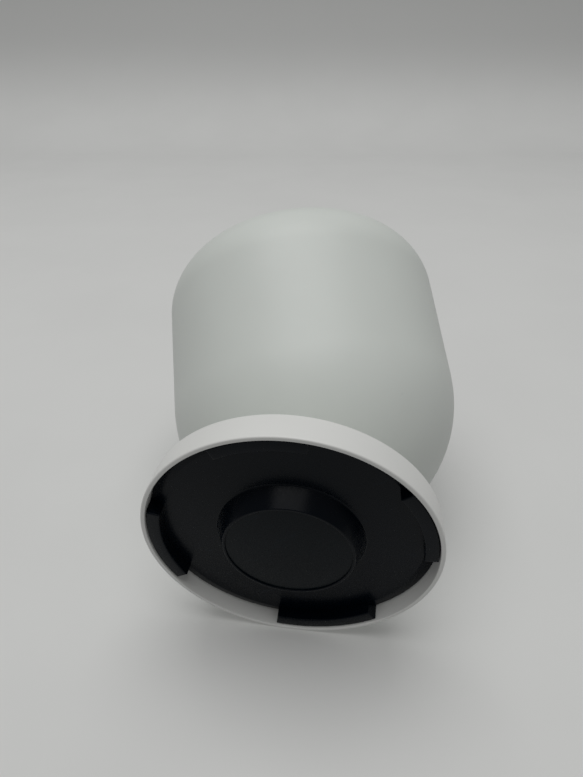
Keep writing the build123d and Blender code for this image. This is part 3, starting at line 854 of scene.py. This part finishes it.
@dataclass
class InsideParts:
    """The CAD parts that keep their own shape, by finish."""

    nodes: dict[Finish, tuple[str, ...]] = field(default_factory=lambda: {
        PLAIN_STEEL: ("foot_weight", "pivot_post", "pivot_washer", "back_iron", "keeper_bowl"),
        SCREW_STEEL: ("plate_screws", "pivot_screw", "tray_screws", "board_screws", "radio_screws"),
        GREY_PLASTIC: ("saddle", "thrust_washer", "base_tray", "antenna_frame"),
        LINER: ("saddle_liner",),
        NICKEL: ("magnet_ring",),
        BOARD: ("led_board", "main_board", "radio_board", "power_board"),
        BRASS: ("antennas", "standoffs"),
        SHIELD: ("shield_cans", "radio_cans"),
        THERMAL: ("thermal_pads",),
        SINK: ("heatsink",),
        TIN: ("ethernet_jacks", "power_jack"),
        POCKET_WHITE: ("port_pocket",),
        UNDERSIDE_BLACK: ("reset_switch",),
        BUTTON_GREY: ("reset_button",),
    })

    def dress(self) -> None:
        """Puts each finish on its parts."""
        for finish, names in self.nodes.items():
            for name in names:
                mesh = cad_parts[name].data
                if not mesh.materials:
                    mesh.materials.append(None)
                for place in range(len(mesh.materials)):
                    mesh.materials[place] = finish.material()
            log.info("%s: %s", finish.name, ", ".join(names))


# ---------------------------------------------------------------- table, light and camera


@dataclass
class Studio:
    """A pale table that sweeps up at the back, soft light, and the camera.

    The object lies on its side, on the edge of its foot and on its ball end, so in the frame's
    axes the table stands almost upright beside it. Lengths here are in metres.
    """

    down: Colour = (0.405, -0.9077, -0.1093)
    ball: Colour = (0.0, 0.0, 0.0684)
    ball_r: float = 0.052
    eye: Colour = (-0.07447, 0.12478, -0.10194)
    look: Colour = (0.3597, -0.5228, 0.7728)
    lens: float = 27.06
    key_height: float = 1.6
    key_back: float = -0.02
    key_side: float = -0.12
    key_size: float = 1.4
    key_power: float = 13.8
    fill_way: Colour = (0.9, -0.6, 0.3)
    fill_far: float = 0.8
    fill_power: float = 0.5
    near: float = -0.6
    flat: float = 0.76
    sweep_r: float = 0.27
    rise: float = 0.9
    half_width: float = 1.6
    paper: Colour = (0.80, 0.805, 0.79)
    paper_cloud: float = 90.0
    paper_clouded: float = 0.975     # darkest cloud, as a share of the colour
    painted_shade_heights: Pair = (0.01, 0.16)        # heights over the table between which painted shade darkens the paper
    painted_shade_darkest: float = 0.74              # the deepest painted shade on the paper, as a share of the colour
    air: float = 0.25

    @property
    def up(self) -> Vector:
        """Away from the table."""
        return -Vector(self.down).normalized()

    @property
    def away(self) -> Vector:
        """Level with the table, away from the camera."""
        look = Vector(self.look)
        return (look - self.up * look.dot(self.up)).normalized()

    @property
    def touch(self) -> Vector:
        """Where the ball end rests on the table."""
        return Vector(self.ball) - self.up * self.ball_r

    def table(self) -> None:
        """Makes the table: a level line, a quarter arc and an upright line, drawn out sideways."""
        level = np.stack([np.linspace(self.near, self.flat, 24), np.zeros(24)], axis=1)
        bend = arc((self.flat, self.sweep_r), self.sweep_r, -90, 0, 48)[1:]
        wall = bend[-1] + np.linspace(0, 1, 8)[1:, None] * np.array([0.0, self.rise])
        line = np.concatenate([level, bend, wall])
        side = self.away.cross(self.up)
        across = np.linspace(-self.half_width, self.half_width, 24)
        grid = (np.array(self.touch) + line[:, None, :1] * np.array(self.away)
                + line[:, None, 1:] * np.array(self.up) + across[None, :, None] * np.array(side))
        number = np.arange(grid.shape[0] * grid.shape[1]).reshape(grid.shape[:2])
        quads = np.stack([number[:-1, :-1], number[:-1, 1:], number[1:, 1:], number[1:, :-1]], -1)
        mesh = bpy.data.meshes.new("table")
        mesh.from_pydata(grid.reshape(-1, 3).tolist(), [], quads.reshape(-1, 4).tolist())
        mesh.shade_smooth()
        if mesh.polygons[0].normal.dot(self.up) < 0:
            mesh.flip_normals()
        mesh.materials.append(self.paper_material())
        table = bpy.data.objects.new("table", mesh)
        bpy.context.scene.collection.objects.link(table)
        for ray in ("visible_diffuse", "visible_transmission", "visible_shadow"):
            setattr(table, ray, False)

    def paper_material(self) -> bpy.types.Material:
        """Pale paper with faint clouds, and painted shade that darkens it where it climbs, seen
        only from its upper side.
        """
        bench = Bench("table_paper")
        clouds = bench.spread(bench.noise(self.paper_cloud, 3.0), (0.3, 0.7), (0.0, 1.0))
        colour = bench.tint(clouds, self.paper, shaded(self.paper, self.paper_clouded))
        # Painted shade: the paper colour darkens with height over the table, standing in for the
        # sweep turning away from the light.
        climb = bench.node("ShaderNodeVectorMath", operation="DOT_PRODUCT")
        bench.join(bench.place, climb.inputs[0])
        climb.inputs[1].default_value = self.up
        level = self.up.dot(self.touch)
        heights = (level + self.painted_shade_heights[0], level + self.painted_shade_heights[1])
        painted_shade = bench.spread(climb.outputs["Value"], heights, (0.0, 1.0))
        colour = bench.tint(painted_shade, colour, shaded(self.paper, self.painted_shade_darkest))
        bench.finish(colour, bench.spread(clouds, (0.0, 1.0), (0.75, 0.85)))
        bench.shader.inputs["Specular IOR Level"].default_value = 0.25
        clear = bench.node("ShaderNodeBsdfTransparent")
        mix = bench.node("ShaderNodeMixShader")
        bench.join(bench.node("ShaderNodeNewGeometry").outputs["Backfacing"], mix.inputs[0])
        bench.join(bench.shader.outputs[0], mix.inputs[1])
        bench.join(clear.outputs[0], mix.inputs[2])
        bench.join(mix.outputs[0], bench.tree.nodes["Material Output"].inputs["Surface"])
        return bench.material

    def lamp(self, name: str, place: Vector, size: float, power: float) -> None:
        """Adds a soft square light that faces the object.

        Args:
            name: its name.
            place: where it hangs.
            size: its side.
            power: its strength in watts.
        """
        light = bpy.data.lights.new(name, "AREA")
        light.shape = "SQUARE"
        light.size = size
        light.energy = power
        lamp = bpy.data.objects.new(name, light)
        aim = Vector(self.ball) - place
        turn = aim.to_track_quat("-Z", "Y").to_matrix().to_4x4()
        lamp.matrix_world = Matrix.Translation(place) @ turn
        lamp.visible_camera = False
        bpy.context.scene.collection.objects.link(lamp)

    def light(self) -> None:
        """Hangs a soft light over the table and a fill beside the drum, on its underneath."""
        ball = Vector(self.ball)
        side = self.away.cross(self.up)
        key = ball + self.up * self.key_height + self.away * self.key_back + side * self.key_side
        self.lamp("over_table", key, self.key_size, self.key_power)
        fill = ball + Vector(self.fill_way) * self.fill_far
        self.lamp("under_fill", fill, self.fill_far, self.fill_power)
        world = bpy.data.worlds.new("air")
        world.use_nodes = True
        world.node_tree.nodes["Background"].inputs["Color"].default_value = (*(self.air,) * 3, 1.0)
        bpy.context.scene.world = world

    def camera(self) -> None:
        """Sets the camera where it looks down at the foot's underside."""
        look = Vector(self.look).normalized()
        right = look.cross(self.up).normalized()
        top = right.cross(look)
        lens = bpy.data.cameras.new("eye")
        lens.lens = self.lens
        lens.sensor_width = 36.0
        lens.clip_start = 0.01
        eye = bpy.data.objects.new("eye", lens)
        turn = Matrix((right, top, -look)).transposed().to_4x4()
        eye.matrix_world = Matrix.Translation(Vector(self.eye)) @ turn
        bpy.context.scene.collection.objects.link(eye)
        bpy.context.scene.camera = eye

    def build(self) -> None:
        """Sets up everything that isn't part of the object."""
        self.table()
        self.light()
        self.camera()
        bpy.context.scene.view_settings.view_transform = "Standard"


def main() -> None:
    """Builds the pieces in order."""
    logging.basicConfig(level=logging.INFO, format="%(name)s %(message)s")
    Drum().build()
    Foot().build()
    InsideParts().dress()
    Studio().build()


if __name__ == "__main__":
    main()
